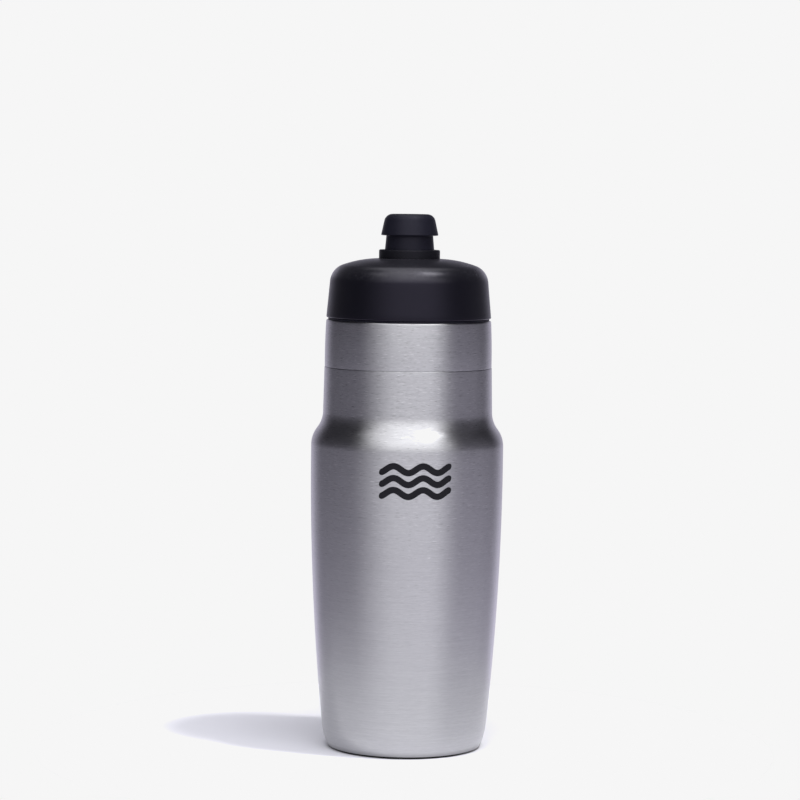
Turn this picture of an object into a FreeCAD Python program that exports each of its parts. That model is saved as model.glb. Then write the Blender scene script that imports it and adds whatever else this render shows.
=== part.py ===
"""Stainless steel bicycle water bottle with a screw cap and a push-pull spout.

Millimetres, +Z up. The origin is the centre of the standing ring on the surface the bottle stands on,
and every piece is placed at rest: cap screwed home, spout pushed shut.
"""

import FreeCAD, Part
import os
from math import asin, atan2, cos, degrees, radians, sin, tan

# ---- driving dimensions of the steel bottle ----
BARREL_R = 36.5             # widest radius, the 73 mm that a bicycle bottle cage grips
WALL = 0.45                 # sheet thickness of every pressed steel piece
LAND_BOTTOM_Z = 110.0       # the short cylindrical land at the widest part
LAND_TOP_Z = 115.2
BARREL_CURVE_R = 1005.0     # long arc that tapers the barrel towards the base
CORNER_TOP_Z = 8.5          # where the barrel turns into the base corner
CORNER_R = 24.0
FOOT_R = 0.9                # bend at the standing ring
SHOULDER_R = 10.6           # both bends of the shoulder
SHOULDER_BEND = 37.6        # steepest slope of the shoulder, degrees from upright
NECK_TAPER = 1.2            # degrees from upright
SEAM_Z = 145.0              # weld seam between body and neck band
SEAM_GAP = 0.15
RETURN_R = 27.2             # flange turned up inside the standing ring
RETURN_TOP_Z = 2.6
BASE_DISH = 1.4             # how far the base plate is domed inwards

# ---- neck band and thread ring ----
BAND_R = 31.66              # widest, at BAND_WIDE_Z
BAND_WIDE_Z = 148.0
BAND_CURVE_R = 260.0        # long arc that draws the band in towards its lip
LIP_R = 0.6
LIP_TOP_Z = 162.85
LIP_INNER_R = 29.45
LAP_R = 31.28               # joggled edge that the body is welded over
LAP_BOTTOM_Z = 142.5
JOGGLE_Z = 147.0

THREAD_LEAD = 6.0
THREAD_TURNS = 1.25
THREAD_HALF_ROOT = 1.2      # half the width of a thread ridge where it leaves the wall
THREAD_HALF_CREST = 0.55
THREAD_BED = 0.3            # how deep a ridge is sunk into its wall
RING_R = 29.6               # wall inside the neck that carries the female thread
RING_CREST_R = 28.45
RING_BOTTOM_Z = 149.2
FEMALE_START_Z = 150.4
SKIRT_R = 28.1              # cap skirt that carries the male thread
SKIRT_CREST_R = 29.35
SKIRT_INNER_R = 26.2
SKIRT_BOTTOM_Z = 146.2
MALE_START_Z = 148.6        # 1.8 below the female ridge, so its upper flank is the loaded one

# ---- cap ----
CAP_RIM_Z = 163.7
CROWN_R = 42.0              # gentle arc of the cap's top
CROWN_FLAT_R = 10.9         # radius at which the crown is level
CROWN_TOP_Z = 186.1
CROWN_END = 20.0            # slope at which the crown meets the shoulder arc, degrees
DOME_SHOULDER_R = 7.2
DOME_SIDE = 84.7            # slope of the cap's side, degrees
COVER_WALL = 1.3
COVER_RIM_ROUND = 0.4
BOND_GAP = 0.05             # glue line between cover and core
CORE_WALL = 1.5
FLANGE_Z = 164.8
COLLAR_R = 11.55
COLLAR_TOP_Z = 189.45
COLLAR_ROUND = 0.5
TUBE_R = 11.2
TUBE_BOTTOM_Z = 166.0
ENTRY_R = 9.75              # widened mouth of the spout guide
ENTRY_Z = 187.2
GUIDE_R = 8.75
STOP_Z = 178.0              # shoulder that stops the spout when it is pulled open
CHAMBER_R = 9.6

# ---- gasket ----
GASKET_INNER_R = 28.3
GASKET_OUTER_R = 30.55
GASKET_RIB_R = 29.55
GASKET_GAP = 0.06

# ---- spout ----
SPOUT_TRAVEL = 6.0
BARREL_TUBE_R = 8.6
SPOUT_TUBE_R = 7.4
SPOUT_BORE_R = 6.25
SPOUT_BOTTOM_Z = 168.5
SPOUT_SHOULDER_Z = 187.7
SPOUT_ROOF_Z = 199.9
SPOUT_TOP_Z = 201.5
BEAD_R = 9.35
BEAD_TOP_Z = STOP_Z - SPOUT_TRAVEL - 0.1
BEAD_HEIGHT = 2.6
GROOVE_R = 7.05
GROOVE_Z = 178.6
GROOVE_WIDTH = 2.0
O_RING_SECTION_R = 0.82
OUTLET_R = 2.4

MOUTH_TOP_Z = 202.95
MOUTH_CORNER_R = 3.2
MOUTH_EDGE_R = 10.8
MOUTH_EDGE_Z = 194.85
MOUTH_EDGE_ROUND = 0.35
MOUTH_TAPER = 12.2          # degrees from upright
MOUTH_HOLE_R = 3.0
MOUTH_HOLE_ROUND = 0.4
NECK_TOP_R = 8.84
NECK_FOOT_R = 9.49

# ---- vent: air goes down beside the water, through a straw ----
VENT_X = 4.7
CHANNEL_R = 1.5
CHANNEL_WALL = 0.6
CHANNEL_BOTTOM_Z = 183.0
AIR_HOLE_R = 0.8
PIN_R = 1.8
PIN_TIP_R = 2.35
PIN_TIP_Z = 198.5
PIN_TOP_Z = 201.1
POST_R = 1.4
POST_BORE_R = 0.8
POST_NECK_R = 1.1
POST_NECK_Z = 196.0
POST_PORT_Z = 197.6
POST_PORT_R = 0.45
STOPPER_THICKNESS = 1.8
STOPPER_RING_TOP_Z = 168.2
NIPPLE_R = 1.9
NIPPLE_BORE_R = 1.2
NIPPLE_LENGTH = 7.0
STRAW_INNER_R = 1.95
STRAW_OUTER_R = 2.75
STRAW_BOTTOM_Z = 9.0

AXIS = FreeCAD.Vector(0, 0, 1)
ORIGIN = FreeCAD.Vector(0, 0, 0)


# ---- outlines and turned solids ----
# An outline is a list of points (radius, height) and three-point arcs. Angles are in degrees above
# the outward direction.

def polar(centre, radius, angle):
    return (centre[0] + radius * cos(radians(angle)), centre[1] + radius * sin(radians(angle)))


def arc(centre, radius, start, end):
    return [polar(centre, radius, angle) for angle in (start, (start + end) / 2, end)]


def vector(place):
    return FreeCAD.Vector(place[0], 0, place[1])


def flipped(outline):
    """The same outline walked the other way."""
    return [item[::-1] if isinstance(item, list) else item for item in reversed(outline)]


def turned(outline):
    """The solid of a closed outline turned once round the bottle's axis."""
    pieces = [item if isinstance(item, list) else [item] for item in outline]
    edges = []
    for piece, following in zip(pieces, pieces[1:] + pieces[:1]):
        if len(piece) == 3:
            edges.append(Part.Arc(*map(vector, piece)).toShape())
        start = vector(piece[-1])
        end = vector(following[0])
        if start.distanceToPoint(end) > 1e-6:
            edges.append(Part.makeLine(start, end))
    return Part.Face(Part.Wire(edges)).revolve(ORIGIN, AXIS, 360)


def rod(radius, bottom, top, x=0.0):
    return Part.makeCylinder(radius, top - bottom, FreeCAD.Vector(x, 0, bottom))


def ridge(root_r, crest_r, start_z):
    """A right-hand thread ridge. It grows from root_r, inside its wall, out to crest_r."""
    bed_r = root_r + (THREAD_BED if crest_r < root_r else -THREAD_BED)
    slope = (THREAD_HALF_ROOT - THREAD_HALF_CREST) / (crest_r - root_r)
    half_bed = THREAD_HALF_ROOT - slope * (bed_r - root_r)
    section = [(bed_r, -half_bed), (crest_r, -THREAD_HALF_CREST),
               (crest_r, THREAD_HALF_CREST), (bed_r, half_bed)]
    profile = Part.makePolygon([vector(place) for place in section + section[:1]])
    helix = Part.makeHelix(THREAD_LEAD, THREAD_LEAD * THREAD_TURNS, root_r)
    solid = Part.Wire(helix.Edges).makePipeShell([profile], True, True)
    solid.translate(FreeCAD.Vector(0, 0, start_z))
    return solid


# ---- steel bottle ----

def body_side(inset):
    """The body from its seam down to the standing ring, inset from the outer surface."""
    upper_r = SHOULDER_R + inset
    lower_r = SHOULDER_R - inset
    lower_centre = (BARREL_R - SHOULDER_R, LAND_TOP_Z)
    bend = polar(lower_centre, 2 * SHOULDER_R, SHOULDER_BEND)
    neck_foot = polar(bend, upper_r, 180 + NECK_TAPER)
    neck_top_z = SEAM_Z
    neck_top_r = neck_foot[0] - (neck_top_z - neck_foot[1]) * tan(radians(NECK_TAPER))

    barrel_centre = (BARREL_R - BARREL_CURVE_R, LAND_BOTTOM_Z)
    taper = degrees(asin((LAND_BOTTOM_Z - CORNER_TOP_Z) / BARREL_CURVE_R))
    corner_centre = polar(barrel_centre, BARREL_CURVE_R - CORNER_R, -taper)
    foot_angle = degrees(asin((corner_centre[1] - FOOT_R) / (CORNER_R - FOOT_R)))
    foot_centre = polar(corner_centre, CORNER_R - FOOT_R, -foot_angle)
    return [
        (neck_top_r, neck_top_z),
        arc(bend, upper_r, 180 + NECK_TAPER, 180 + SHOULDER_BEND),
        arc(lower_centre, lower_r, SHOULDER_BEND, 0),
        arc(barrel_centre, BARREL_CURVE_R - inset, 0, -taper),
        arc(corner_centre, CORNER_R - inset, -taper, -foot_angle),
        arc(foot_centre, FOOT_R - inset, -foot_angle, -90),
    ]


def make_body_shell():
    """Drawn body, with its bottom edge turned up inside the standing ring."""
    flange = [(RETURN_R, 0), (RETURN_R, RETURN_TOP_Z), (RETURN_R + WALL, RETURN_TOP_Z), (RETURN_R + WALL, WALL)]
    return turned(body_side(0) + flange + flipped(body_side(WALL)))


def make_base_plate():
    """Pressed disc welded inside the turned-up flange, domed inwards."""
    rim_bottom_z = 0.8
    plate_z = RETURN_TOP_Z + 0.4
    plate_r = RETURN_R - 2 * WALL
    dome_r = (plate_r ** 2 + BASE_DISH ** 2) / (2 * BASE_DISH)
    centre = (0, plate_z + BASE_DISH - dome_r)
    edge = degrees(atan2(plate_z - centre[1], plate_r))
    rim = [(RETURN_R - WALL, plate_z - WALL), (RETURN_R - WALL, rim_bottom_z),
           (RETURN_R, rim_bottom_z), (RETURN_R, plate_z)]
    under = arc(centre, dome_r, 90, edge)
    over = arc(centre, dome_r + WALL, edge, 90)
    return turned([under] + rim + [over])


def band_side(inset, bottom_z):
    """The band's long arc from bottom_z up to its lip and the bend of the lip, inset from the outside."""
    curve_centre = (BAND_R - BAND_CURVE_R, BAND_WIDE_Z)
    curve_r = BAND_CURVE_R - inset
    lean = degrees(asin((LIP_TOP_Z - LIP_R - BAND_WIDE_Z) / (BAND_CURVE_R - LIP_R)))
    lip_centre = polar(curve_centre, BAND_CURVE_R - LIP_R, lean)
    foot = degrees(asin((bottom_z - BAND_WIDE_Z) / curve_r))
    return [arc(curve_centre, curve_r, foot, lean), arc(lip_centre, LIP_R - inset, lean, 90)]


def make_neck_band():
    """Visible band above the seam: rolled lip on top, joggled lap below."""
    lap_inner_r = LAP_R - WALL
    seam_z = SEAM_Z + SEAM_GAP
    edge = 0.15
    outside = band_side(0, seam_z + edge)
    lap = [(lap_inner_r, JOGGLE_Z - 0.8), (lap_inner_r, LAP_BOTTOM_Z), (LAP_R, LAP_BOTTOM_Z), (LAP_R, seam_z)]
    lip = [(LIP_INNER_R, LIP_TOP_Z), (LIP_INNER_R, LIP_TOP_Z - WALL)]
    foot_edge = (outside[0][0][0] - edge, seam_z)
    return turned([foot_edge] + outside + lip + flipped(band_side(WALL, JOGGLE_Z)) + lap)


def make_thread_ring():
    """Ring hung inside the neck band. It carries the female thread."""
    top_z = LIP_TOP_Z - WALL - 0.05
    foot_r = BAND_R - WALL - 0.08
    foot_z = RING_BOTTOM_Z - 1.6
    wall = turned([
        (RING_R, top_z),
        (RING_R + WALL, top_z),
        (RING_R + WALL, RING_BOTTOM_Z + 0.4),
        (foot_r, foot_z + 0.7),
        (foot_r, foot_z),
        (foot_r - 0.2, foot_z),
        (RING_R, RING_BOTTOM_Z),
    ])
    return wall.fuse(ridge(RING_R, RING_CREST_R, FEMALE_START_Z))


# ---- cap ----

def dome(inset, inner_r, bottom_z):
    """The cap's domed surface from inner_r on its crown down to bottom_z, inset from the outside."""
    crown_centre = (CROWN_FLAT_R, CROWN_TOP_Z - CROWN_R)
    shoulder_centre = polar(crown_centre, CROWN_R - DOME_SHOULDER_R, 90 - CROWN_END)
    crown_r = CROWN_R - inset
    start = 90 - degrees(asin((inner_r - CROWN_FLAT_R) / crown_r))
    side_top = polar(shoulder_centre, DOME_SHOULDER_R - inset, 90 - DOME_SIDE)
    side_r = side_top[0] + (side_top[1] - bottom_z) / tan(radians(DOME_SIDE))
    return [
        arc(crown_centre, crown_r, start, 90 - CROWN_END),
        arc(shoulder_centre, DOME_SHOULDER_R - inset, 90 - CROWN_END, 90 - DOME_SIDE),
        (side_r, bottom_z),
    ]


def make_cap_cover():
    """Soft skin moulded over the cap's core, with a rounded rim."""
    hole_r = COLLAR_R + BOND_GAP
    outside = dome(0, hole_r, CAP_RIM_Z + COVER_RIM_ROUND)
    rim_r = outside[-1][0] - COVER_RIM_ROUND
    rim = arc((rim_r, CAP_RIM_Z + COVER_RIM_ROUND), COVER_RIM_ROUND, 0, -90)
    return turned(outside + [rim] + flipped(dome(COVER_WALL, hole_r, CAP_RIM_Z)))


def make_cap_core():
    """Rigid core: threaded skirt, seal flange, inner dome and the collar that guides the spout."""
    lead_in = 0.5
    outside = dome(COVER_WALL + BOND_GAP, COLLAR_R, FLANGE_Z)
    inside = dome(COVER_WALL + BOND_GAP + CORE_WALL, TUBE_R, FLANGE_Z + CORE_WALL)
    collar_corner = (COLLAR_R - COLLAR_ROUND, COLLAR_TOP_Z - COLLAR_ROUND)
    collar = [
        arc(collar_corner, COLLAR_ROUND, 0, 90),
        (ENTRY_R + lead_in, COLLAR_TOP_Z),
        (ENTRY_R, COLLAR_TOP_Z - lead_in),
        (ENTRY_R, ENTRY_Z),
        (GUIDE_R, ENTRY_Z),
        (GUIDE_R, STOP_Z),
        (CHAMBER_R, STOP_Z),
        (CHAMBER_R, TUBE_BOTTOM_Z),
        (TUBE_R, TUBE_BOTTOM_Z),
    ]
    skirt = [
        (SKIRT_INNER_R, FLANGE_Z + CORE_WALL),
        (SKIRT_INNER_R, SKIRT_BOTTOM_Z),
        (SKIRT_R - lead_in, SKIRT_BOTTOM_Z),
        (SKIRT_R, SKIRT_BOTTOM_Z + lead_in),
        (SKIRT_R, FLANGE_Z),
    ]
    core = turned(collar + inside + skirt + flipped(outside))
    return core.fuse(ridge(SKIRT_R, SKIRT_CREST_R, MALE_START_Z))


def make_cap_gasket():
    """Silicone ring between the cap and the bottle's lip, with a rib up into the cap."""
    bottom_z = LIP_TOP_Z + GASKET_GAP
    step_z = CAP_RIM_Z - GASKET_GAP
    top_z = FLANGE_Z - GASKET_GAP
    return turned([
        (GASKET_INNER_R, bottom_z),
        (GASKET_OUTER_R, bottom_z),
        (GASKET_OUTER_R, step_z),
        (GASKET_RIB_R, step_z),
        (GASKET_RIB_R, top_z),
        (GASKET_INNER_R, top_z),
    ])


# ---- spout ----

def make_spout_core():
    """Rigid sliding tube with a roof, a stop bead, an O-ring groove and an air channel."""
    bead_bottom_z = BEAD_TOP_Z - BEAD_HEIGHT
    tube = turned([
        (SPOUT_BORE_R, SPOUT_BOTTOM_Z),
        (BARREL_TUBE_R, SPOUT_BOTTOM_Z),
        (BARREL_TUBE_R, bead_bottom_z),
        (BEAD_R, bead_bottom_z + BEAD_R - BARREL_TUBE_R),
        (BEAD_R, BEAD_TOP_Z),
        (BARREL_TUBE_R, BEAD_TOP_Z),
        (BARREL_TUBE_R, GROOVE_Z),
        (GROOVE_R, GROOVE_Z),
        (GROOVE_R, GROOVE_Z + GROOVE_WIDTH),
        (BARREL_TUBE_R, GROOVE_Z + GROOVE_WIDTH),
        (BARREL_TUBE_R, SPOUT_SHOULDER_Z),
        (SPOUT_TUBE_R, SPOUT_SHOULDER_Z),
        (SPOUT_TUBE_R, SPOUT_TOP_Z),
        (OUTLET_R, SPOUT_TOP_Z),
        (OUTLET_R, SPOUT_ROOF_Z),
        (SPOUT_BORE_R, SPOUT_ROOF_Z),
    ])
    channel_wall = rod(CHANNEL_R + CHANNEL_WALL, CHANNEL_BOTTOM_Z, SPOUT_ROOF_Z + 0.1, VENT_X)
    channel = rod(CHANNEL_R, CHANNEL_BOTTOM_Z - 1, SPOUT_ROOF_Z, VENT_X)
    air_hole = rod(AIR_HOLE_R, SPOUT_ROOF_Z - 1, SPOUT_TOP_Z + 1, VENT_X)
    return tube.fuse(channel_wall).cut(channel.fuse(air_hole))


def make_mouthpiece():
    """Soft mouthpiece moulded over the sliding tube: bite rim above, tapered neck below."""
    taper = tan(radians(MOUTH_TAPER))
    edge_centre = (MOUTH_EDGE_R - MOUTH_EDGE_ROUND, MOUTH_EDGE_Z + MOUTH_EDGE_ROUND)
    corner_z = MOUTH_TOP_Z - MOUTH_CORNER_R
    side_r = MOUTH_EDGE_R - (corner_z - edge_centre[1]) * taper
    corner_centre = (side_r - MOUTH_CORNER_R / cos(radians(MOUTH_TAPER)), corner_z)
    hole_centre = (MOUTH_HOLE_R + MOUTH_HOLE_ROUND, MOUTH_TOP_Z - MOUTH_HOLE_ROUND)
    body = turned([
        arc(hole_centre, MOUTH_HOLE_ROUND, 180, 90),
        arc(corner_centre, MOUTH_CORNER_R, 90, MOUTH_TAPER),
        arc(edge_centre, MOUTH_EDGE_ROUND, MOUTH_TAPER, -90),
        (NECK_TOP_R, MOUTH_EDGE_Z),
        (NECK_FOOT_R, SPOUT_SHOULDER_Z),
        (SPOUT_TUBE_R, SPOUT_SHOULDER_Z),
        (SPOUT_TUBE_R, SPOUT_TOP_Z),
        (MOUTH_HOLE_R, SPOUT_TOP_Z),
    ])
    air_hole = rod(AIR_HOLE_R, SPOUT_TOP_Z - 1, MOUTH_TOP_Z + 1, VENT_X)
    return body.cut(air_hole)


def make_o_ring():
    ring = Part.makeTorus(GROOVE_R + 0.02 + O_RING_SECTION_R, O_RING_SECTION_R)
    ring.translate(FreeCAD.Vector(0, 0, GROOVE_Z + GROOVE_WIDTH / 2))
    return ring


# ---- stopper and vent straw ----

def make_stopper():
    """Snap-in disc with water windows, the pin that plugs the outlet and the hollow vent post."""
    disc_z = TUBE_BOTTOM_Z - STOPPER_THICKNESS
    ring_r = CHAMBER_R - 0.05
    ring_wall = 1.25
    pin_foot_r = 3.0
    body = turned([
        (0, disc_z),
        (TUBE_R - 0.05, disc_z),
        (TUBE_R - 0.05, TUBE_BOTTOM_Z),
        (ring_r, TUBE_BOTTOM_Z),
        (ring_r, STOPPER_RING_TOP_Z),
        (ring_r - ring_wall, STOPPER_RING_TOP_Z),
        (ring_r - ring_wall, TUBE_BOTTOM_Z),
        (pin_foot_r, TUBE_BOTTOM_Z),
        (PIN_R, TUBE_BOTTOM_Z + 3.5),
        (PIN_R, PIN_TIP_Z - 2.0),
        (PIN_TIP_R, PIN_TIP_Z),
        (PIN_TIP_R, PIN_TOP_Z - 0.3),
        (PIN_TIP_R - 0.3, PIN_TOP_Z),
        (0, PIN_TOP_Z),
    ])
    post = rod(POST_R, disc_z, POST_NECK_Z, VENT_X)
    post = post.fuse(rod(POST_NECK_R, POST_NECK_Z - 0.1, SPOUT_ROOF_Z - 0.1, VENT_X))
    post = post.fuse(rod(AIR_HOLE_R - 0.05, SPOUT_ROOF_Z - 0.2, PIN_TOP_Z, VENT_X))
    nipple = rod(NIPPLE_R, disc_z - NIPPLE_LENGTH, disc_z + 0.1, VENT_X)
    body = body.fuse(post).fuse(nipple)

    bore = rod(POST_BORE_R, disc_z - NIPPLE_LENGTH - 1, POST_PORT_Z, VENT_X)
    bore = bore.fuse(rod(NIPPLE_BORE_R, disc_z - NIPPLE_LENGTH - 1, disc_z, VENT_X))
    port_start = FreeCAD.Vector(VENT_X, 0, POST_PORT_Z - POST_PORT_R)
    bore = bore.fuse(Part.makeCylinder(POST_PORT_R, 2 * POST_R, port_start, FreeCAD.Vector(0, 1, 0)))
    body = body.cut(bore)

    window_inner_r = pin_foot_r + 0.1
    window_outer_r = ring_r - ring_wall
    window_angle = 64
    for spoke in range(3):
        window = Part.makeCylinder(window_outer_r, 4, FreeCAD.Vector(0, 0, disc_z - 1), AXIS, window_angle)
        window = window.cut(rod(window_inner_r, disc_z - 2, disc_z + 4))
        window.rotate(ORIGIN, AXIS, spoke * 120 + 60 - window_angle / 2)
        body = body.cut(window)
    return body


def make_vent_straw():
    top_z = TUBE_BOTTOM_Z - STOPPER_THICKNESS - 0.1
    straw = rod(STRAW_OUTER_R, STRAW_BOTTOM_Z, top_z, VENT_X)
    return straw.cut(rod(STRAW_INNER_R, STRAW_BOTTOM_Z - 1, top_z + 1, VENT_X))


PIECES = {
    "body_shell": make_body_shell,
    "base_plate": make_base_plate,
    "neck_band": make_neck_band,
    "thread_ring": make_thread_ring,
    "cap_gasket": make_cap_gasket,
    "cap_cover": make_cap_cover,
    "cap_core": make_cap_core,
    "stopper": make_stopper,
    "vent_straw": make_vent_straw,
    "spout_core": make_spout_core,
    "spout_o_ring": make_o_ring,
    "mouthpiece": make_mouthpiece,
}

os.makedirs("parts", exist_ok=True)
for name, make in PIECES.items():
    shape = make()
    solids = shape.Solids
    if len(solids) != 1 or not solids[0].isValid():
        raise ValueError(f"{name} is not one valid solid")
    solids[0].exportStep(f"parts/{name}.step")
    box = solids[0].BoundBox
    print(f"{name:14s} {solids[0].Volume:9.1f} mm3  z {box.ZMin:7.2f} to {box.ZMax:7.2f}  x to {box.XMax:6.2f}")
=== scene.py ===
"""Looks of the stainless bicycle water bottle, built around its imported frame. Metres, +Z up."""
from math import asin, atan2, ceil, cos, degrees, pi, radians, sin, sqrt, tan

import bpy
from mathutils import Matrix, Vector


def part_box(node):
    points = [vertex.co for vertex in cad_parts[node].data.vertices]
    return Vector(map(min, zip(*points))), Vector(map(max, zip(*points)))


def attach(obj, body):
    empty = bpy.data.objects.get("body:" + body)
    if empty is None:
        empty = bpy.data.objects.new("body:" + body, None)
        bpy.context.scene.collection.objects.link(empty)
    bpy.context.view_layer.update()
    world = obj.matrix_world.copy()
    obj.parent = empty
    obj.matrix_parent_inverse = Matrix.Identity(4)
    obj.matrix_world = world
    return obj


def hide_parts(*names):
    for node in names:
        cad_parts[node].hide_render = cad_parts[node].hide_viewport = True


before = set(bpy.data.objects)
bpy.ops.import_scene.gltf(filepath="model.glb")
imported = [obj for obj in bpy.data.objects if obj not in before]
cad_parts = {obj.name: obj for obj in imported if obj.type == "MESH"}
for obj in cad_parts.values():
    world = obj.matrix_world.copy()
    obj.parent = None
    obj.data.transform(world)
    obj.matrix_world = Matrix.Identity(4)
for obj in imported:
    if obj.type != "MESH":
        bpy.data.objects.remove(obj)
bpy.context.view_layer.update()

MM = 0.001
SEGMENTS = 192              # facets round a full turn of every turned piece
ARC_STEP = 5.0              # degrees of bend between two points of an outline


# ---- outlines: lists of (radius, height), angles in degrees above the outward direction ----

def polar(centre, radius, angle):
    """The point at a radius and an angle from a centre."""
    return (centre[0] + radius * cos(radians(angle)), centre[1] + radius * sin(radians(angle)))


def arc(centre, radius, start, end, least=2):
    """Points along an arc, both ends included."""
    steps = max(least, ceil(abs(end - start) / ARC_STEP))
    return [polar(centre, radius, start + (end - start) * i / steps) for i in range(steps + 1)]


def rounded(corners):
    """A closed outline from (radius, height, rounding) corners."""
    outline = []
    for i, (r, z, rounding) in enumerate(corners):
        here = Vector((r, z))
        if rounding == 0:
            outline.append((r, z))
            continue
        before = (Vector(corners[i - 1][:2]) - here).normalized()
        after = (Vector(corners[(i + 1) % len(corners)][:2]) - here).normalized()
        half = before.angle(after) / 2
        cut = rounding / tan(half)
        centre = here + (before + after).normalized() * rounding / sin(half)
        start = here + before * cut - centre
        end = here + after * cut - centre
        first = degrees(atan2(start.y, start.x))
        sweep = (degrees(atan2(end.y, end.x)) - first + 180) % 360 - 180
        outline += arc(tuple(centre), rounding, first, first + sweep)
    return outline


def straight(start, end, steps):
    """Points between two places, both included."""
    return [tuple(Vector(start).lerp(Vector(end), i / steps)) for i in range(steps + 1)]


# ---- meshes ----

def smooth(obj, angle=35):
    """Smooth shading that stays crisp where faces meet at more than the angle."""
    for face in obj.data.polygons:
        face.use_smooth = True
    obj.data.set_sharp_from_angle(angle=radians(angle))
    return obj


def face_outwards(obj):
    """Turns the mesh inside out if its faces look inwards."""
    mesh = obj.data
    volume = 0.0
    for face in mesh.polygons:
        places = [mesh.vertices[v].co for v in face.vertices]
        for second, third in zip(places[1:], places[2:]):
            volume += places[0].dot(second.cross(third))
    if volume < 0:
        mesh.flip_normals()


def new_object(name, vertices, faces):
    """A closed mesh whose faces look outwards."""
    mesh = bpy.data.meshes.new(name)
    mesh.from_pydata(vertices, [], faces)
    mesh.validate()
    obj = bpy.data.objects.new(name, mesh)
    bpy.context.scene.collection.objects.link(obj)
    face_outwards(obj)
    return obj


def lathe(name, outline, segments=SEGMENTS):
    """A closed outline turned round the Z axis. Points on the axis become one vertex."""
    on_axis = 1e-7
    vertices = []
    rings = []
    for radius, height in outline:
        if radius < on_axis:
            rings.append([len(vertices)] * segments)
            vertices.append((0, 0, height))
            continue
        rings.append(list(range(len(vertices), len(vertices) + segments)))
        for i in range(segments):
            angle = 2 * pi * i / segments
            vertices.append((radius * cos(angle), radius * sin(angle), height))
    faces = []
    for ring, following in zip(rings, rings[1:] + rings[:1]):
        for i in range(segments):
            j = (i + 1) % segments
            corners = [ring[i], ring[j], following[j], following[i]]
            corners = list(dict.fromkeys(corners))
            if len(corners) > 2:
                faces.append(corners)
    return smooth(new_object(name, vertices, faces))


def rod(radius, low, high, x):
    """A round bar along Z, standing at x, used to add to or cut from a piece."""
    obj = lathe("rod", [(0, low), (radius, low), (radius, high), (0, high)], segments=48)
    obj.data.transform(Matrix.Translation((x, 0, 0)))
    return obj


def combine(obj, other, operation):
    """Joins the other mesh to the piece (UNION) or cuts it away (DIFFERENCE)."""
    change = obj.modifiers.new(operation, "BOOLEAN")
    change.operation = operation
    change.solver = "EXACT"
    change.object = other
    with bpy.context.temp_override(object=obj):
        bpy.ops.object.modifier_apply(modifier=change.name)
    bpy.data.objects.remove(other)
    return smooth(obj)


# ---- sizes: heights from the floor, radii, and angles in degrees; some are read from the frame ----

def reach(node):
    """The largest radius of a node."""
    low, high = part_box(node)
    return max(high.x, -low.x)


def bottom(node):
    """The lowest height of a node."""
    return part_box(node)[0].z


def top(node):
    """The largest height of a node."""
    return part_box(node)[1].z


# body
BARREL_R = reach("body_shell")
SEAM_Z = top("body_shell")
WALL = 0.45 * MM
LAND_BOTTOM_Z = 110 * MM
LAND_TOP_Z = 115.2 * MM
BARREL_CURVE_R = 1005 * MM
CORNER_TOP_Z = 8.5 * MM
CORNER_R = 24 * MM
FOOT_R = 0.9 * MM
SHOULDER_R = 10.6 * MM
SHOULDER_BEND = 37.6
NECK_TAPER = 1.2
RETURN_R = reach("base_plate")
RETURN_TOP_Z = 2.6 * MM

# neck band
BAND_R = reach("neck_band")
BAND_WIDE_Z = 148 * MM
BAND_CURVE_R = 260 * MM
LIP_TOP_Z = top("neck_band")
LIP_R = 0.6 * MM
LIP_INNER_R = 29.45 * MM
LAP_R = 31.28 * MM
LAP_BOTTOM_Z = bottom("neck_band")
JOGGLE_Z = 147 * MM
SEAM_GAP = 0.15 * MM

# thread in the neck and on the cap's skirt
THREAD_LEAD = 6 * MM
THREAD_TURNS = 1.25
THREAD_HALF_ROOT = 1.2 * MM
THREAD_HALF_CREST = 0.55 * MM
THREAD_BED = 0.3 * MM
RING_R = 29.6 * MM
RING_CREST_R = 28.45 * MM
RING_BOTTOM_Z = 149.2 * MM
FEMALE_START_Z = 150.4 * MM
SKIRT_R = 28.1 * MM
SKIRT_CREST_R = 29.35 * MM
SKIRT_INNER_R = 26.2 * MM
SKIRT_BOTTOM_Z = 146.2 * MM
MALE_START_Z = 148.6 * MM

# cap
CAP_RIM_Z = bottom("cap_cover")
CROWN_R = 42 * MM
CROWN_FLAT_R = 10.9 * MM
CROWN_TOP_Z = 186.1 * MM
CROWN_END = 20.0
DOME_SHOULDER_R = 7.2 * MM
DOME_SIDE = 84.7
COVER_WALL = 1.3 * MM
COVER_RIM_ROUND = 0.4 * MM
BOND_GAP = 0.05 * MM
CORE_WALL = 1.5 * MM
FLANGE_Z = 164.8 * MM
COLLAR_R = 11.55 * MM
COLLAR_TOP_Z = top("cap_core")
COLLAR_ROUND = 0.5 * MM
TUBE_R = 11.2 * MM
TUBE_BOTTOM_Z = 166 * MM
ENTRY_R = 9.75 * MM
ENTRY_Z = 187.2 * MM
GUIDE_R = 8.75 * MM
STOP_Z = 178 * MM
CHAMBER_R = 9.6 * MM

# gasket
GASKET_INNER_R = 28.3 * MM
GASKET_RIB_R = 29.55 * MM
GASKET_OUTER_R = reach("cap_gasket")

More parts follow.
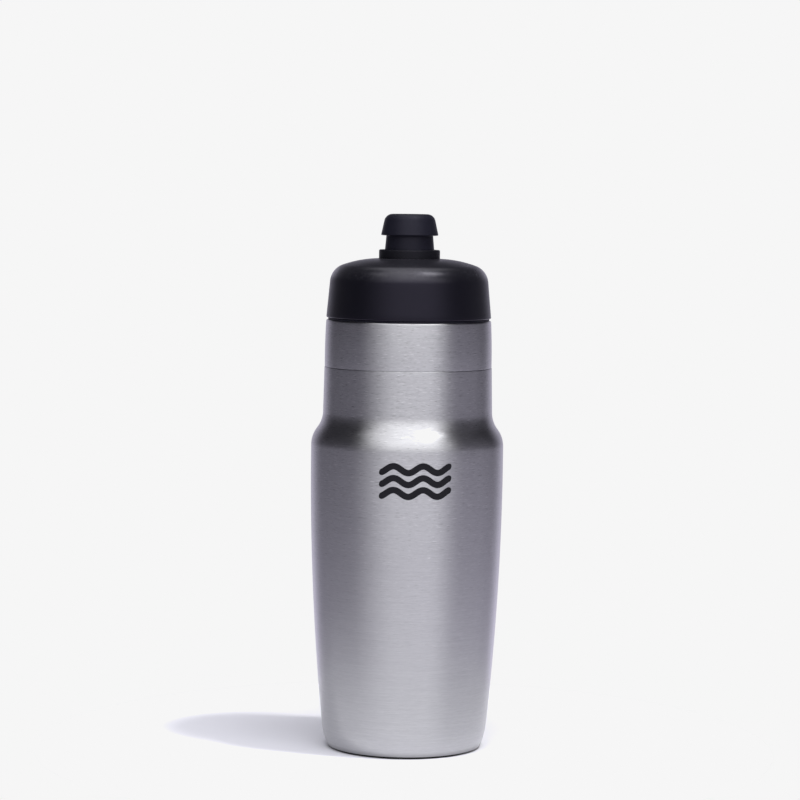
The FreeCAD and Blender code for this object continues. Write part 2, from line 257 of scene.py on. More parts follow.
# sliding spout
SPOUT_BOTTOM_Z = bottom("spout_core")
SPOUT_TOP_Z = top("spout_core")
SPOUT_SHOULDER_Z = bottom("mouthpiece")
SPOUT_ROOF_Z = SPOUT_TOP_Z - 1.6 * MM
SLIDE_R = 8.6 * MM
SPOUT_TUBE_R = 7.4 * MM
SPOUT_BORE_R = 6.25 * MM
BEAD_R = 9.35 * MM
BEAD_TOP_Z = 171.9 * MM
BEAD_HEIGHT = 2.6 * MM
GROOVE_R = 7.05 * MM
GROOVE_Z = 178.6 * MM
GROOVE_WIDTH = 2 * MM
OUTLET_R = 2.4 * MM
VENT_X = 4.7 * MM
CHANNEL_R = 1.5 * MM
CHANNEL_WALL = 0.6 * MM
CHANNEL_BOTTOM_Z = 183 * MM
AIR_HOLE_R = 0.8 * MM

# mouthpiece
MOUTH_TOP_Z = top("mouthpiece")
MOUTH_EDGE_R = reach("mouthpiece")
MOUTH_EDGE_Z = 194.85 * MM
MOUTH_EDGE_ROUND = 0.35 * MM
MOUTH_CORNER_R = 3.2 * MM
MOUTH_TAPER = 12.2
MOUTH_HOLE_R = 3.0 * MM
MOUTH_HOLE_ROUND = 0.4 * MM
NECK_TOP_R = 8.84 * MM
NECK_FOOT_R = 9.49 * MM


# ---- node graphs ----

class Graph:
    """Makes the nodes of one material or world."""

    def __init__(self, tree):
        self.tree = tree
        self.tree.nodes.clear()

    def node(self, kind, inputs=None, **settings):
        """A shader node of that kind with its inputs and settings filled in."""
        node = self.tree.nodes.new("ShaderNode" + kind)
        for key, value in settings.items():
            setattr(node, key, value)
        for key, value in (inputs or {}).items():
            self.feed(node.inputs[key], value)
        return node

    def feed(self, socket, value):
        """Links a socket to another one, or sets it to a constant."""
        if isinstance(value, bpy.types.NodeSocket):
            self.tree.links.new(value, socket)
        else:
            socket.default_value = value

    def maths(self, operation, *values):
        """The result of one operation on sockets or constants."""
        node = self.node("Math", operation=operation)
        for socket, value in zip(node.inputs, values):
            self.feed(socket, value)
        return node.outputs[0]

    def total(self, *values):
        result = values[0]
        for value in values[1:]:
            result = self.maths("ADD", result, value)
        return result

    def product(self, *values):
        result = values[0]
        for value in values[1:]:
            result = self.maths("MULTIPLY", result, value)
        return result

    def step(self, value, start, end, at_start=0.0, at_end=1.0):
        """A soft step: at_start up to start, at_end from end on. The end may be below the start."""
        inputs = {
            "Value": value,
            "From Min": start,
            "From Max": end,
            "To Min": at_start,
            "To Max": at_end,
        }
        return self.node("MapRange", inputs, interpolation_type="SMOOTHSTEP").outputs["Result"]

    def noise(self, place, scale=1.0, detail=2.0, roughness=0.5):
        """Cloudy noise about 0.5. A scale, here or in the place, is in cells per metre."""
        inputs = {"Vector": place, "Scale": scale, "Detail": detail, "Roughness": roughness}
        return self.node("TexNoise", inputs).outputs["Fac"]

    def place(self, scale=(1, 1, 1)):
        """The frame's own coordinates in metres, each multiplied by its scale."""
        coordinates = self.node("TexCoord").outputs["Object"]
        return self.node("Mapping", {"Vector": coordinates, "Scale": scale}).outputs["Vector"]

    def height(self):
        """Height above the floor in metres."""
        return self.node("SeparateXYZ", {"Vector": self.place()}).outputs["Z"]

    def blend_colour(self, factor, first, second):
        """The first colour where the factor is 0, the second where it is 1."""
        node = self.node("Mix", data_type="RGBA")
        colours = [socket for socket in node.inputs if socket.type == "RGBA"]
        self.feed(node.inputs[0], factor)
        self.feed(colours[0], first)
        self.feed(colours[1], second)
        return next(socket for socket in node.outputs if socket.type == "RGBA")

    def bump(self, height, strength, distance):
        """A normal tilted by a relief, whose depth is the distance in metres."""
        inputs = {"Height": height, "Strength": strength, "Distance": distance}
        return self.node("Bump", inputs).outputs["Normal"]


def new_material(name):
    """A material, the graph it is made of and its shader."""
    material = bpy.data.materials.new(name)
    material.use_nodes = True
    graph = Graph(material.node_tree)
    shader = graph.node("BsdfPrincipled")
    output = graph.node("OutputMaterial")
    graph.feed(output.inputs["Surface"], shader.outputs["BSDF"])
    return material, graph, shader


def grey(value, blue=1.0):
    """A grey, bluer where blue is above 1."""
    return (value, value, value * blue, 1.0)


# ---- materials ----

def brushed_steel():
    """Satin stainless, brushed in short level dashes that get coarser towards the neck.

    Its standing ring is painted near-black, a painted contact shadow where it meets the floor.
    """
    material, graph, shader = new_material("brushed_steel")
    fine = graph.noise(graph.place((300, 300, 9000)), detail=3.0, roughness=0.6)
    broad = graph.noise(graph.place((55, 55, 1500)))
    dashes = graph.noise(graph.place((420, 420, 6500)), detail=1.0)
    cloud = graph.noise(graph.place(), 35.0)
    height = graph.height()

    streaks = graph.total(graph.product(fine, 0.7), graph.product(broad, 0.3))
    colour = graph.blend_colour(graph.step(streaks, 0.25, 0.75), grey(0.45, 1.02), grey(0.55, 1.01))
    coarse = graph.step(height, 20 * MM, 140 * MM, 0.15, 1.0)
    pale_dash = graph.product(graph.step(dashes, 0.62, 0.76), coarse)
    dark_dash = graph.product(graph.step(dashes, 0.38, 0.24), coarse)
    colour = graph.blend_colour(pale_dash, colour, grey(0.74))
    colour = graph.blend_colour(dark_dash, colour, grey(0.26))
    # painted contact shadow: the base colour darkens to near-black over the lowest 2.8 mm of the body
    faint_painted_contact_shade = graph.step(height, 2.8 * MM, 1.0 * MM, 0.0, 0.25)
    thick_painted_contact_shade = graph.step(height, 1.0 * MM, 0.6 * MM, 0.0, 0.74)
    colour = graph.blend_colour(graph.total(faint_painted_contact_shade, thick_painted_contact_shade), colour, grey(0.012))
    graph.feed(shader.inputs["Base Color"], colour)

    roughness = graph.total(0.24, graph.product(streaks, 0.12), graph.product(cloud, 0.05))
    graph.feed(shader.inputs["Roughness"], roughness)
    shader.inputs["Metallic"].default_value = 1.0
    shader.inputs["Anisotropic"].default_value = 0.82
    shader.inputs["Anisotropic Rotation"].default_value = 0.25
    tangent = graph.node("Tangent", direction_type="RADIAL", axis="Z")
    graph.feed(shader.inputs["Tangent"], tangent.outputs["Tangent"])
    graph.feed(shader.inputs["Normal"], graph.bump(streaks, 0.35, 0.03 * MM))
    return material


def pressed_steel():
    """Stainless left as it came from the press, for the pieces that are not brushed."""
    material, graph, shader = new_material("pressed_steel")
    grain = graph.noise(graph.place(), 2600.0, detail=3.0)
    cloud = graph.noise(graph.place(), 90.0, detail=3.0)
    colour = graph.blend_colour(cloud, grey(0.44, 1.02), grey(0.58))
    graph.feed(shader.inputs["Base Color"], colour)
    graph.feed(shader.inputs["Roughness"], graph.total(0.28, graph.product(grain, 0.2)))
    shader.inputs["Metallic"].default_value = 1.0
    graph.feed(shader.inputs["Normal"], graph.bump(grain, 0.2, 0.02 * MM))
    return material


def soft_touch():
    """Soft-touch black skin with a fine suede grain.

    The crown has pale rub marks that are partly a painted highlight, and a handled gloss where it turns
    into the side.
    """
    material, graph, shader = new_material("soft_touch")
    grain = graph.noise(graph.place(), 3800.0)
    mottle = graph.noise(graph.place(), 900.0, detail=4.0, roughness=0.65)
    cloud = graph.noise(graph.place(), 60.0)
    height = graph.height()
    crown = graph.step(height, 176.5 * MM, 181.5 * MM)
    # pale rub marks on the crown, partly a painted highlight where the light from above falls
    rub_marks_and_painted_highlight = graph.product(graph.step(mottle, 0.50, 0.66), graph.step(cloud, 0.40, 0.62), crown)
    colour = graph.blend_colour(cloud, grey(0.0020, 1.8), grey(0.0038, 1.6))
    colour = graph.blend_colour(graph.product(rub_marks_and_painted_highlight, 0.5), colour, grey(0.034, 1.2))
    graph.feed(shader.inputs["Base Color"], colour)
    roughness = graph.total(0.27, graph.product(mottle, 0.12), graph.product(rub_marks_and_painted_highlight, -0.10))
    graph.feed(shader.inputs["Roughness"], roughness)
    shader.inputs["Specular IOR Level"].default_value = 0.33
    shader.inputs["Specular Tint"].default_value = (0.80, 0.74, 1.0, 1.0)
    above_side = graph.step(height, 177.0 * MM, 180.6 * MM)
    below_top = graph.step(height, 181.8 * MM, 183.6 * MM, 1.0, 0.0)
    gloss = graph.product(above_side, below_top, graph.step(mottle, 0.30, 0.60, 0.45, 0.85))
    graph.feed(shader.inputs["Coat Weight"], gloss)
    shader.inputs["Coat Roughness"].default_value = 0.27
    shader.inputs["Sheen Weight"].default_value = 0.05
    shader.inputs["Sheen Roughness"].default_value = 0.45
    shader.inputs["Sheen Tint"].default_value = (0.90, 0.88, 1.0, 1.0)
    relief = graph.total(graph.product(grain, 0.6), graph.product(mottle, 0.4))
    graph.feed(shader.inputs["Normal"], graph.bump(relief, 0.60, 0.04 * MM))
    return material


def moulded(name, dark, light, blue, roughness, specular, grain_scale, relief):
    """Moulded plastic or rubber: a colour mottled from dark to light, uneven gloss and a fine grain."""
    material, graph, shader = new_material(name)
    grain = graph.noise(graph.place(), grain_scale)
    cloud = graph.noise(graph.place(), 160.0, detail=3.0)
    colour = graph.blend_colour(cloud, grey(dark, blue), grey(light, blue))
    graph.feed(shader.inputs["Base Color"], colour)
    graph.feed(shader.inputs["Roughness"], graph.total(roughness, graph.product(cloud, 0.10)))
    shader.inputs["Specular IOR Level"].default_value = specular
    shader.inputs["Specular Tint"].default_value = (0.88, 0.85, 1.0, 1.0)
    graph.feed(shader.inputs["Normal"], graph.bump(grain, relief, 0.03 * MM))
    return material


def paper_floor():
    """White paper with a faint painted glow that lightens the bottle's cast shadow, kept off the floor
    close round the bottle.
    """
    material, graph, shader = new_material("paper_floor")
    fibre = graph.noise(graph.place(), 900.0)
    colour = graph.blend_colour(fibre, grey(0.85, 1.06), grey(0.87, 1.06))
    graph.feed(shader.inputs["Base Color"], colour)
    shader.inputs["Roughness"].default_value = 0.9
    shader.inputs["Specular IOR Level"].default_value = 0.0
    from_axis = graph.node("VectorMath", {0: graph.place()}, operation="LENGTH").outputs["Value"]
    # painted light: the paper glows faintly to lighten the cast shadow, but not close round the bottle's
    # foot
    painted_glow = graph.step(from_axis, 29 * MM, 36 * MM, 0.0, 0.01)
    graph.feed(shader.inputs["Emission Strength"], painted_glow)
    shader.inputs["Emission Color"].default_value = (0.94, 0.94, 1.13, 1.0)
    return material


STEEL = brushed_steel()
BARE_STEEL = pressed_steel()
SOFT_TOUCH = soft_touch()
PLASTIC = moulded(
    "black_plastic", dark=0.0060, light=0.0085, blue=1.35,
    roughness=0.40, specular=0.20, grain_scale=3000.0, relief=0.2,
)
SILICONE = moulded(
    "silicone", dark=0.0095, light=0.0130, blue=1.6,
    roughness=0.38, specular=0.18, grain_scale=2400.0, relief=0.3,
)
MILKY = moulded(
    "straw_plastic", dark=0.76, light=0.84, blue=0.97,
    roughness=0.35, specular=0.5, grain_scale=1500.0, relief=0.1,
)
INK = moulded(
    "black_ink", dark=0.006, light=0.009, blue=1.1,
    roughness=0.5, specular=0.2, grain_scale=5000.0, relief=0.15,
)


# ---- steel bottle ----

def finished(obj, material, body, slot_name, *nodes):
    """Gives a piece its material and its body, and hides the nodes it stands for. The slot name is not
    used.
    """
    obj.data.materials.clear()
    obj.data.materials.append(material)
    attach(obj, body)
    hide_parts(*nodes)


def body_side(inset):
    """The body from its seam down to the standing ring, inset from the outer surface."""
    lower_centre = (BARREL_R - SHOULDER_R, LAND_TOP_Z)
    bend = polar(lower_centre, 2 * SHOULDER_R, SHOULDER_BEND)
    upper_r = SHOULDER_R + inset
    neck_foot = polar(bend, upper_r, 180 + NECK_TAPER)
    neck_top_r = neck_foot[0] - (SEAM_Z - neck_foot[1]) * tan(radians(NECK_TAPER))
    barrel_centre = (BARREL_R - BARREL_CURVE_R, LAND_BOTTOM_Z)
    taper = degrees(asin((LAND_BOTTOM_Z - CORNER_TOP_Z) / BARREL_CURVE_R))
    corner_centre = polar(barrel_centre, BARREL_CURVE_R - CORNER_R, -taper)
    foot_angle = degrees(asin((corner_centre[1] - FOOT_R) / (CORNER_R - FOOT_R)))
    foot_centre = polar(corner_centre, CORNER_R - FOOT_R, -foot_angle)
    return (
        straight((neck_top_r, SEAM_Z), neck_foot, steps=6)[:-1]
        + arc(bend, upper_r, 180 + NECK_TAPER, 180 + SHOULDER_BEND, least=14)
        + arc(lower_centre, SHOULDER_R - inset, SHOULDER_BEND, 0, least=14)[1:]
        + arc(barrel_centre, BARREL_CURVE_R - inset, 0, -taper, least=30)
        + arc(corner_centre, CORNER_R - inset, -taper, -foot_angle, least=10)[1:]
        + arc(foot_centre, FOOT_R - inset, -foot_angle, -90, least=6)[1:]
    )


def make_body():
    """Sheet steel shell, open at the seam and turned up inside its standing ring."""
    edge = 0.16 * MM
    outside = body_side(0)
    brim = arc((outside[0][0] - edge, SEAM_Z - edge), edge, 90, 0, least=4)
    flange = [
        (RETURN_R, 0),
        (RETURN_R, RETURN_TOP_Z),
        (RETURN_R + WALL, RETURN_TOP_Z),
        (RETURN_R + WALL, WALL),
    ]
    outline = brim + outside[1:] + flange + body_side(WALL)[::-1]
    finished(lathe("bottle_body", outline), STEEL, "bottle", "brushed_steel", "body_shell")


def make_base():
    """Domed base plate with its welded rim."""
    dish = 1.4 * MM
    rise = 0.4 * MM
    rim_z = bottom("base_plate")
    plate_z = RETURN_TOP_Z + rise
    plate_r = RETURN_R - 2 * WALL
    dome_r = (plate_r ** 2 + dish ** 2) / (2 * dish)
    centre = (0, plate_z + dish - dome_r)
    edge = degrees(atan2(plate_z - centre[1], plate_r))
    under = arc(centre, dome_r, 90, edge, least=8)
    over = arc(centre, dome_r + WALL, edge, 90, least=8)
    rim = [
        (RETURN_R - WALL, plate_z - WALL),
        (RETURN_R - WALL, rim_z),
        (RETURN_R, rim_z),
        (RETURN_R, plate_z),
    ]
    finished(lathe("base_disc", under + rim + over), BARE_STEEL, "bottle", "brushed_steel", "base_plate")


def band_side(inset, bottom_z):
    """The band from bottom_z up to its lip and over the lip's bend, inset from the outside."""
    curve_centre = (BAND_R - BAND_CURVE_R, BAND_WIDE_Z)
    curve_r = BAND_CURVE_R - inset
    lean = degrees(asin((LIP_TOP_Z - LIP_R - BAND_WIDE_Z) / (BAND_CURVE_R - LIP_R)))
    lip_centre = polar(curve_centre, BAND_CURVE_R - LIP_R, lean)
    foot = degrees(asin((bottom_z - BAND_WIDE_Z) / curve_r))
    side = arc(curve_centre, curve_r, foot, lean, least=10)
    lip = arc(lip_centre, LIP_R - inset, lean, 90, least=8)
    return side + lip[1:]


def make_neck_band():
    """Sheet steel band with a rolled lip. Its foot is stepped in to slide inside the body."""
    edge = 0.15 * MM
    joggle = 0.8 * MM
    seam_z = SEAM_Z + SEAM_GAP
    lap_inner_r = LAP_R - WALL
    outside = band_side(0, seam_z + edge)
    outline = (
        arc((outside[0][0] - edge, seam_z + edge), edge, -90, 0, least=4)
        + outside[1:]
        + [(LIP_INNER_R, LIP_TOP_Z), (LIP_INNER_R, LIP_TOP_Z - WALL)]
        + band_side(WALL, JOGGLE_Z)[::-1]
        + [(lap_inner_r, JOGGLE_Z - joggle), (lap_inner_r, LAP_BOTTOM_Z)]
        + [(LAP_R, LAP_BOTTOM_Z), (LAP_R, seam_z)]
    )
    finished(lathe("neck_ring", outline), STEEL, "bottle", "brushed_steel", "neck_band")


def ridge(root_r, crest_r, start_z):
    """A thread ridge sunk into its wall. Both its ends run out into the wall."""
    steps = 120
    run_out = 8
    bed_r = root_r + (THREAD_BED if crest_r < root_r else -THREAD_BED)
    slope = (THREAD_HALF_ROOT - THREAD_HALF_CREST) / (crest_r - root_r)
    half_bed = THREAD_HALF_ROOT - slope * (bed_r - root_r)
    vertices = []
    for i in range(steps + 1):
        share = min(1.0, (min(i, steps - i) + 0.5) / run_out)
        crest = bed_r + (crest_r - bed_r) * share
        half = half_bed + (THREAD_HALF_CREST - half_bed) * share
        angle = 2 * pi * THREAD_TURNS * i / steps
        height = start_z + THREAD_LEAD * THREAD_TURNS * i / steps
        for radius, rise in ((bed_r, -half_bed), (crest, -half), (crest, half), (bed_r, half_bed)):
            vertices.append((radius * cos(angle), radius * sin(angle), height + rise))
    faces = [[3, 2, 1, 0], [4 * steps + k for k in range(4)]]
    for i in range(steps):
        for k in range(4):
            a = 4 * i + k
            b = 4 * i + (k + 1) % 4
            faces.append([a, b, b + 4, a + 4])
    return new_object("ridge", vertices, faces)


def make_neck_thread():
    """Ring inside the neck, flared out to the band at its foot, with the female thread."""
    top_gap = 0.05 * MM
    foot_gap = 0.08 * MM
    foot_drop = 1.6 * MM
    foot_height = 0.7 * MM
    foot_width = 0.2 * MM
    flare_rise = 0.4 * MM
    top_z = LIP_TOP_Z - WALL - top_gap
    foot_r = BAND_R - WALL - foot_gap
    foot_z = RING_BOTTOM_Z - foot_drop
    wall = lathe("neck_thread", [
        (RING_R, top_z),
        (RING_R + WALL, top_z),
        (RING_R + WALL, RING_BOTTOM_Z + flare_rise),
        (foot_r, foot_z + foot_height),
        (foot_r, foot_z),
        (foot_r - foot_width, foot_z),
        (RING_R, RING_BOTTOM_Z),
    ])
    obj = combine(wall, ridge(RING_R, RING_CREST_R, FEMALE_START_Z), "UNION")
    finished(obj, BARE_STEEL, "bottle", "brushed_steel", "thread_ring")


# ---- cap ----

def dome(inset, inner_r, bottom_z):
    """The cap's domed surface from inner_r down to bottom_z, inset from the outside."""
    crown_centre = (CROWN_FLAT_R, CROWN_TOP_Z - CROWN_R)
    shoulder_centre = polar(crown_centre, CROWN_R - DOME_SHOULDER_R, 90 - CROWN_END)
    crown_r = CROWN_R - inset
    start = 90 - degrees(asin((inner_r - CROWN_FLAT_R) / crown_r))
    side_top = polar(shoulder_centre, DOME_SHOULDER_R - inset, 90 - DOME_SIDE)
    side_r = side_top[0] + (side_top[1] - bottom_z) / tan(radians(DOME_SIDE))
    return (
        arc(crown_centre, crown_r, start, 90 - CROWN_END, least=12)
        + arc(shoulder_centre, DOME_SHOULDER_R - inset, 90 - CROWN_END, 90 - DOME_SIDE, least=24)[1:]
        + straight(side_top, (side_r, bottom_z), steps=8)[1:]
    )


def make_cover():
    """Soft domed skin over the cap, with a rounded rim."""
    hole_r = COLLAR_R + BOND_GAP
    outside = dome(0, hole_r, CAP_RIM_Z + COVER_RIM_ROUND)
    rim_centre = (outside[-1][0] - COVER_RIM_ROUND, CAP_RIM_Z + COVER_RIM_ROUND)
    rim = arc(rim_centre, COVER_RIM_ROUND, 0, -90, least=8)
    outline = outside[:-1] + rim + dome(COVER_WALL, hole_r, CAP_RIM_Z)[::-1]
    finished(lathe("cap_dome", outline), SOFT_TOUCH, "cap", "soft_touch", "cap_cover")


def make_core():
    """Threaded skirt, seal flange, inner dome and the collar that guides the spout."""
    lead_in = 0.5 * MM
    collar_corner = (COLLAR_R - COLLAR_ROUND, COLLAR_TOP_Z - COLLAR_ROUND)
    collar = arc(collar_corner, COLLAR_ROUND, 0, 90, least=8) + [
        (ENTRY_R + lead_in, COLLAR_TOP_Z),
        (ENTRY_R, COLLAR_TOP_Z - lead_in),
        (ENTRY_R, ENTRY_Z),
        (GUIDE_R, ENTRY_Z),
        (GUIDE_R, STOP_Z),
        (CHAMBER_R, STOP_Z),
        (CHAMBER_R, TUBE_BOTTOM_Z),
        (TUBE_R, TUBE_BOTTOM_Z),
    ]
    skirt = [
        (SKIRT_INNER_R, FLANGE_Z + CORE_WALL),
        (SKIRT_INNER_R, SKIRT_BOTTOM_Z),
        (SKIRT_R - lead_in, SKIRT_BOTTOM_Z),
        (SKIRT_R, SKIRT_BOTTOM_Z + lead_in),
        (SKIRT_R, FLANGE_Z),
    ]
    inside = dome(COVER_WALL + BOND_GAP + CORE_WALL, TUBE_R, FLANGE_Z + CORE_WALL)
    outside = dome(COVER_WALL + BOND_GAP, COLLAR_R, FLANGE_Z)
    wall = lathe("cap_body", collar + inside + skirt + outside[::-1])
    obj = combine(wall, ridge(SKIRT_R, SKIRT_CREST_R, MALE_START_Z), "UNION")
    finished(obj, PLASTIC, "cap", "black_plastic", "cap_core")


def make_gasket():
    """Ring between the steel lip and the cap's rim. Its inner part reaches up into the cap."""
    bottom_z = bottom("cap_gasket")
    top_z = top("cap_gasket")
    step_z = CAP_RIM_Z - (bottom_z - LIP_TOP_Z)
    bead = 0.25 * MM
    outline = rounded([
        (GASKET_INNER_R, bottom_z, 0),
        (GASKET_OUTER_R, bottom_z, bead),
        (GASKET_OUTER_R, step_z, bead),
        (GASKET_RIB_R, step_z, 0),
        (GASKET_RIB_R, top_z, bead),
        (GASKET_INNER_R, top_z, bead),
    ])
    finished(lathe("seal_ring", outline), SILICONE, "gasket", "silicone", "cap_gasket")


# ---- spout ----

def make_spout_core():
    """Sliding tube with its stop bead, O-ring groove, roof and air channel."""
    bead_bottom_z = BEAD_TOP_Z - BEAD_HEIGHT
    bead_edge = 0.2 * MM
    tube = lathe("spout_tube", rounded([
        (SPOUT_BORE_R, SPOUT_BOTTOM_Z, 0),
        (SLIDE_R, SPOUT_BOTTOM_Z, bead_edge),
        (SLIDE_R, bead_bottom_z, 0),
        (BEAD_R, bead_bottom_z + BEAD_R - SLIDE_R, bead_edge),
        (BEAD_R, BEAD_TOP_Z, bead_edge),
        (SLIDE_R, BEAD_TOP_Z, 0),
        (SLIDE_R, GROOVE_Z, 0),
        (GROOVE_R, GROOVE_Z, 0),
        (GROOVE_R, GROOVE_Z + GROOVE_WIDTH, 0),
        (SLIDE_R, GROOVE_Z + GROOVE_WIDTH, 0),
        (SLIDE_R, SPOUT_SHOULDER_Z, 0),
        (SPOUT_TUBE_R, SPOUT_SHOULDER_Z, 0),
        (SPOUT_TUBE_R, SPOUT_TOP_Z, 0),
        (OUTLET_R, SPOUT_TOP_Z, 0),
        (OUTLET_R, SPOUT_ROOF_Z, 0),
        (SPOUT_BORE_R, SPOUT_ROOF_Z, 0),
    ]))
    overlap = 0.1 * MM
    clear = 1 * MM
    post = rod(CHANNEL_R + CHANNEL_WALL, CHANNEL_BOTTOM_Z, SPOUT_ROOF_Z + overlap, VENT_X)
    combine(tube, post, "UNION")
    channel = rod(CHANNEL_R, CHANNEL_BOTTOM_Z - clear, SPOUT_ROOF_Z, VENT_X)
    combine(tube, channel, "DIFFERENCE")
    air_hole = rod(AIR_HOLE_R, SPOUT_ROOF_Z - clear, SPOUT_TOP_Z + clear, VENT_X)
    combine(tube, air_hole, "DIFFERENCE")
    finished(tube, PLASTIC, "spout", "black_plastic", "spout_core")


def make_mouthpiece():
    """Soft bite rim above, tapered neck below, with a drinking hole and a small air hole."""
    taper = tan(radians(MOUTH_TAPER))
    edge_centre = (MOUTH_EDGE_R - MOUTH_EDGE_ROUND, MOUTH_EDGE_Z + MOUTH_EDGE_ROUND)
    corner_z = MOUTH_TOP_Z - MOUTH_CORNER_R
    side_r = MOUTH_EDGE_R - (corner_z - edge_centre[1]) * taper
    corner_centre = (side_r - MOUTH_CORNER_R / cos(radians(MOUTH_TAPER)), corner_z)
    hole_centre = (MOUTH_HOLE_R + MOUTH_HOLE_ROUND, MOUTH_TOP_Z - MOUTH_HOLE_ROUND)
    rim = (
        arc(hole_centre, MOUTH_HOLE_ROUND, 180, 90, least=6)
        + arc(corner_centre, MOUTH_CORNER_R, 90, MOUTH_TAPER, least=16)
        + arc(edge_centre, MOUTH_EDGE_ROUND, MOUTH_TAPER, -90, least=8)
    )
    neck_top_round = 0.3 * MM
    neck_foot_round = 0.12 * MM
    under = rounded([
        (edge_centre[0], MOUTH_EDGE_Z, 0),
        (NECK_TOP_R, MOUTH_EDGE_Z, neck_top_round),
        (NECK_FOOT_R, SPOUT_SHOULDER_Z, neck_foot_round),
        (SPOUT_TUBE_R, SPOUT_SHOULDER_Z, 0),
        (SPOUT_TUBE_R, SPOUT_TOP_Z, 0),
        (MOUTH_HOLE_R, SPOUT_TOP_Z, 0),
    ])
    clear = 1 * MM
    obj = lathe("bite_valve", rim + under[1:])
    air_hole = rod(AIR_HOLE_R, SPOUT_TOP_Z - clear, MOUTH_TOP_Z + clear, VENT_X)
    combine(obj, air_hole, "DIFFERENCE")
    finished(obj, SILICONE, "spout", "silicone", "mouthpiece")


def dress(node, material):
    """A node of the frame whose shape stays as it is gets its material."""
    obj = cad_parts[node]
    obj.data.materials.clear()
    obj.data.materials.append(material)


# ---- printed mark: three waves, a plain sign for water ----

def barrel_radius(z):
    """Radius of the body's outside at a height on its long taper or its land."""
    below = max(0.0, LAND_BOTTOM_Z - z)
    return BARREL_R - BARREL_CURVE_R + sqrt(BARREL_CURVE_R ** 2 - below ** 2)


def wave(middle_z, layer, along, across):
    """Points of one wavy stroke with round ends, at a distance from the barrel's surface."""
    width = 27.5 * MM
    stroke = 2.4 * MM
    swing = 1.25 * MM
    turns = 1.25
    right_of_front = 5.1
    middle_angle = radians(-90 + right_of_front)
    points = []
    for i in range(along + 1):
        u = -cos(pi * i / along)            # from -1 to 1, in smaller steps towards the ends
        past_end = max(0.0, abs(u) * width / 2 - (width - stroke) / 2)
        half = sqrt(max(0.0, (stroke / 2) ** 2 - past_end ** 2))
        phase = 2 * pi * turns * u
        tilt = atan2(swing * 2 * pi * turns * cos(phase), width / 2)
        for j in range(across + 1):
            side = (2 * j / across - 1) * half
            z = middle_z + swing * sin(phase) + side * cos(tilt)
            radius = barrel_radius(z) + layer
            angle = middle_angle + (u * width / 2 - side * sin(tilt)) / BARREL_R
            points.append((radius * cos(angle), radius * sin(angle), z))
    return points


def make_mark():
    """Black ink waves, printed on the barrel a little right of the middle."""
    ink = 0.03 * MM
    middle_z = 104.9 * MM
    spacing = 4.4 * MM
    along = 96
    across = 6
    columns = across + 1
    vertices = []
    faces = []
    for row in (-1, 0, 1):
        front = len(vertices)
        vertices += wave(middle_z + row * spacing, ink, along, across)
        back = len(vertices)
        vertices += wave(middle_z + row * spacing, -ink / 2, along, across)
        for i in range(along):
            for j in range(across):
                a = front + i * columns + j
                faces.append([a, a + columns, a + columns + 1, a + 1])
                b = back + i * columns + j
                faces.append([b, b + 1, b + columns + 1, b + columns])
            left = i * columns
            right = left + across
            faces.append([front + left, back + left, back + left + columns, front + left + columns])
            faces.append([front + right, front + right + columns, back + right + columns, back + right])
    obj = new_object("printed_waves", vertices, faces)
    weld = obj.modifiers.new("weld", "WELD")
    weld.merge_threshold = 0.001 * MM
    with bpy.context.temp_override(object=obj):
        bpy.ops.object.modifier_apply(modifier=weld.name)
    smooth(obj, angle=30)
    finished(obj, INK, "bottle", "black_plastic")


make_body()
make_base()
make_neck_band()
make_neck_thread()
make_cover()
make_core()
make_gasket()
make_spout_core()
make_mouthpiece()
make_mark()
dress("stopper", PLASTIC)
dress("spout_o_ring", SILICONE)
dress("vent_straw", MILKY)


# ---- studio: white paper, large soft lights in front and above, one lamp, a pale wall behind ----

def make_floor():
    """A round sheet of white paper. Past its edge the camera sees the white of the studio."""
    radius = 0.14
    facets = 128
    angles = [2 * pi * i / facets for i in range(facets)]
    ring = [(radius * cos(angle), radius * sin(angle), 0) for angle in angles]
    mesh = bpy.data.meshes.new("paper")
    mesh.from_pydata(ring, [], [list(range(facets))])
    mesh.materials.append(paper_floor())
    obj = bpy.data.objects.new("paper", mesh)
    bpy.context.scene.collection.objects.link(obj)


KEY_TOWARDS = Vector((0.360, -0.187, 1.0)).normalized()     # from the bottle to the lamp


def make_key_light():
    """The lamp, high on the right and a little to the front.

    It isn't reflected itself. The bright patch towards it in make_world is reflected instead.
    """
    light = bpy.data.lights.new("key", "SUN")
    light.energy = 1.25
    light.color = (1.0, 0.99, 0.96)
    light.angle = radians(4)                # how wide the lamp looks from the bottle
    obj = bpy.data.objects.new("key", light)
    obj.visible_glossy = False
    obj.rotation_euler = KEY_TOWARDS.to_track_quat("Z", "Y").to_euler()
    bpy.context.scene.collection.objects.link(obj)


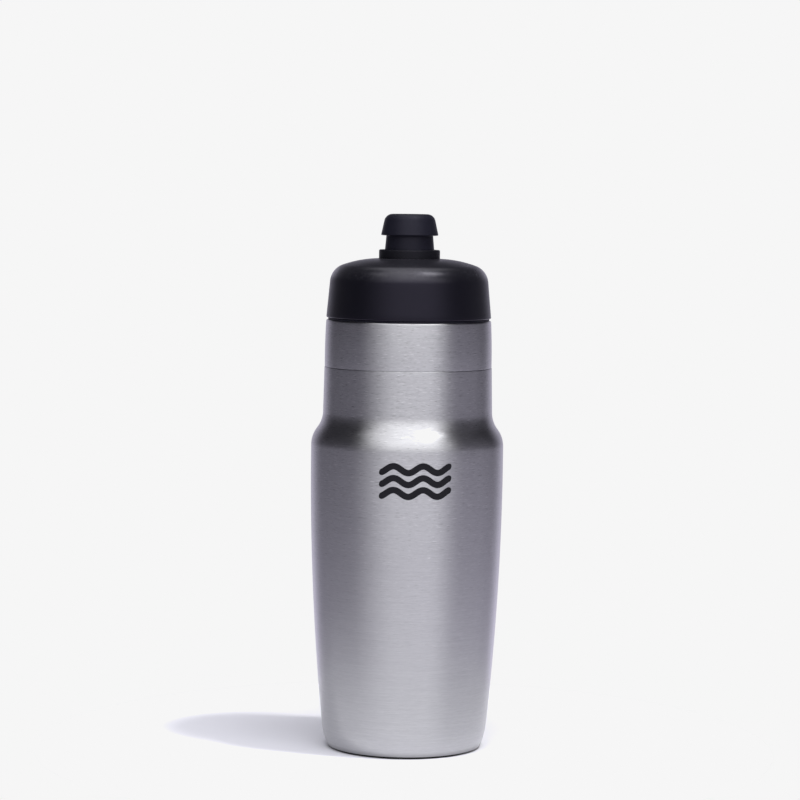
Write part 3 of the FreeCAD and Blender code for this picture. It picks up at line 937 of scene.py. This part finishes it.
def make_world():
    """Light and reflections by direction. Azimuth is 0 on the camera's side and grows to the right.

    The camera itself sees plain white.
    """
    world = bpy.data.worlds.new("studio")
    world.use_nodes = True
    bpy.context.scene.world = world
    graph = Graph(world.node_tree)
    direction = graph.node("TexCoord").outputs["Generated"]
    parts = graph.node("SeparateXYZ", {"Vector": direction}).outputs
    azimuth = graph.maths("ARCTAN2", parts["X"], graph.maths("MULTIPLY", parts["Y"], -1.0))
    elevation = graph.maths("ARCSINE", parts["Z"])

    # soft edges between two angles in degrees
    def right_of(low, high):
        return graph.step(azimuth, radians(low), radians(high))

    def left_of(low, high):
        return graph.maths("SUBTRACT", 1.0, right_of(low, high))

    def above(low, high):
        return graph.step(elevation, radians(low), radians(high))

    def below(low, high):
        return graph.step(elevation, radians(low), radians(high), 1.0, 0.0)

    front = graph.product(right_of(-74, -10), left_of(30, 72))
    softbox = graph.product(front, above(6, 14), below(35, 48), 2.15)
    low_front = graph.product(front, below(6, 14), 0.33)
    overhead = graph.product(
        above(35, 48),
        graph.step(parts["Y"], -0.10, 0.08, 1.0, 0.0),
        graph.step(parts["X"], -0.70, -0.50),
        graph.step(parts["X"], 0.38, 0.60, 1.0, 0.0),
        graph.step(parts["X"], -0.55, 0.0, 1.5, 2.1),
    )
    past_top = graph.product(
        graph.step(parts["Y"], -0.10, 0.08),
        graph.step(parts["Y"], 0.48, 0.68, 1.6, 0.0),
        graph.step(graph.maths("ABSOLUTE", parts["X"]), 0.20, 0.40, 1.0, 0.0),
        above(20, 35),
    )
    to_key = graph.node("VectorMath", {0: direction, 1: KEY_TOWARDS}, operation="DOT_PRODUCT")
    lamp = graph.step(to_key.outputs["Value"], cos(radians(13)), cos(radians(4)), 0.0, 5.0)
    white = graph.total(softbox, low_front, overhead, past_top, lamp)

    far_floor = graph.product(below(-13, -4), graph.step(parts["X"], -0.9, 0.9, 0.55, 0.76))
    right_wall = graph.product(right_of(50, 75), left_of(100, 130), 0.045)
    behind = graph.step(graph.maths("ABSOLUTE", azimuth), radians(125), radians(165))
    back_wall = graph.product(behind, below(8, 28), 0.55)
    violet = graph.total(far_floor, right_wall, back_wall, 0.035)

    front_light = graph.node("Background", {"Color": (0.97, 0.97, 1.00, 1), "Strength": white})
    side_light = graph.node("Background", {"Color": (1.0, 0.96, 1.16, 1), "Strength": violet})
    lit = graph.node("AddShader", {0: front_light.outputs[0], 1: side_light.outputs[0]})
    seen = graph.node("Background", {"Color": (1, 1, 1, 1), "Strength": 1.0})
    ray = graph.node("LightPath").outputs["Is Camera Ray"]
    both = graph.node("MixShader", {0: ray, 1: lit.outputs[0], 2: seen.outputs[0]})
    output = graph.node("OutputWorld")
    graph.feed(output.inputs["Surface"], both.outputs[0])


def make_camera():
    """In front and a little above the spout, looking slightly down and leaning by less than a degree."""
    distance = 1.1
    height = 0.2117
    sideways = -0.00293
    pitch = 4.124
    roll = 0.70
    camera = bpy.data.cameras.new("camera")
    camera.sensor_width = 36
    camera.lens = 130.64
    camera.clip_start = 0.05
    obj = bpy.data.objects.new("camera", camera)
    turn = Matrix.Rotation(radians(90 - pitch), 4, "X") @ Matrix.Rotation(radians(roll), 4, "Z")
    obj.matrix_world = Matrix.Translation((sideways, -distance, height)) @ turn
    bpy.context.scene.collection.objects.link(obj)
    bpy.context.scene.camera = obj


def set_tones():
    """A straight tone curve that ends just short of white."""
    view = bpy.context.scene.view_settings
    view.view_transform = "Standard"
    view.look = "None"
    view.use_curve_mapping = True
    curve = view.curve_mapping.curves[3]
    curve.points[0].location = (0.0, 0.0)
    curve.points[1].location = (1.0, 0.922)
    view.curve_mapping.extend = "HORIZONTAL"
    view.curve_mapping.update()


make_floor()
make_key_light()
make_world()
make_camera()
set_tones()
